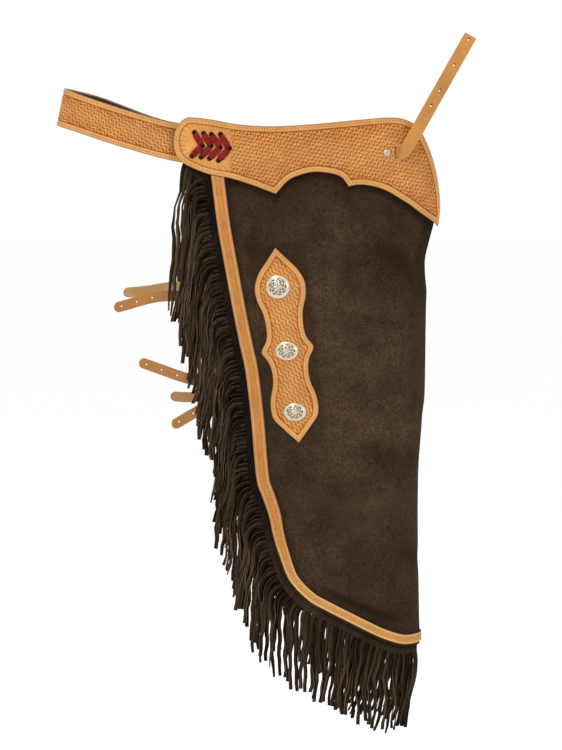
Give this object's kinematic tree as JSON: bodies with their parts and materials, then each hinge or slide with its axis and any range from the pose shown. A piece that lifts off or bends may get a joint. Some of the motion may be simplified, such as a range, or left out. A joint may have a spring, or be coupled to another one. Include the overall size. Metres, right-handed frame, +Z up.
{
  "type": "leather chaps",
  "caption": "Worn-form leather chaps: fringed suede legs under tooled hip yokes, laced to a back belt, with domed conchos, a front strap and buckled leg straps.",
  "frame": {"origin": "middle of the waist, on the middle plane, level with the belt's join to the yokes, where the wearer's hips hold the chaps", "axes": "+X towards the wearer's front, +Y towards the wearer's left, +Z up"},
  "size_m": [0.6146, 0.3486, 1.0262],
  "materials": {
    "tooled_leather": "tooled and dyed warm tan",
    "suede": "dark brown suede",
    "fringe": "near-black brown suede with cut edges",
    "strap_leather": "smooth tan",
    "dark_strap": "smooth dark brown",
    "lining": "smooth black",
    "lace": "dark red",
    "silver": "antiqued silver plate",
    "nickel": "nickel plate"
  },
  "bodies": {
    "root": {"back_belt": "tooled_leather", "belt_lining": "lining", "front_strap": "strap_leather", "front_chape": "dark_strap", "front_buckle": "nickel", "right_leg_panel": "suede", "right_fringe": "fringe", "right_yoke": "tooled_leather", "right_border": "tooled_leather", "right_patch": "tooled_leather", "right_front_rivet": "nickel", "right_concho_1": "silver", "right_leg_strap_1": "strap_leather", "right_chape_1": "dark_strap", "right_buckle_1": "nickel", "right_concho_2": "silver", "right_leg_strap_2": "strap_leather", "right_chape_2": "dark_strap", "right_buckle_2": "nickel", "right_concho_3": "silver", "right_leg_strap_3": "strap_leather", "right_chape_3": "dark_strap", "right_buckle_3": "nickel", "right_lace_1": "lace", "right_lace_2": "lace", "right_lace_3": "lace", "right_lace_4": "lace", "left_leg_panel": "suede", "left_fringe": "fringe", "left_yoke": "tooled_leather", "left_border": "tooled_leather", "left_patch": "tooled_leather", "left_front_rivet": "nickel", "left_concho_1": "silver", "left_leg_strap_1": "strap_leather", "left_chape_1": "dark_strap", "left_buckle_1": "nickel", "left_concho_2": "silver", "left_leg_strap_2": "strap_leather", "left_chape_2": "dark_strap", "left_buckle_2": "nickel", "left_concho_3": "silver", "left_leg_strap_3": "strap_leather", "left_chape_3": "dark_strap", "left_buckle_3": "nickel", "left_lace_1": "lace", "left_lace_2": "lace", "left_lace_3": "lace", "left_lace_4": "lace"}
  },
  "joints": []
}
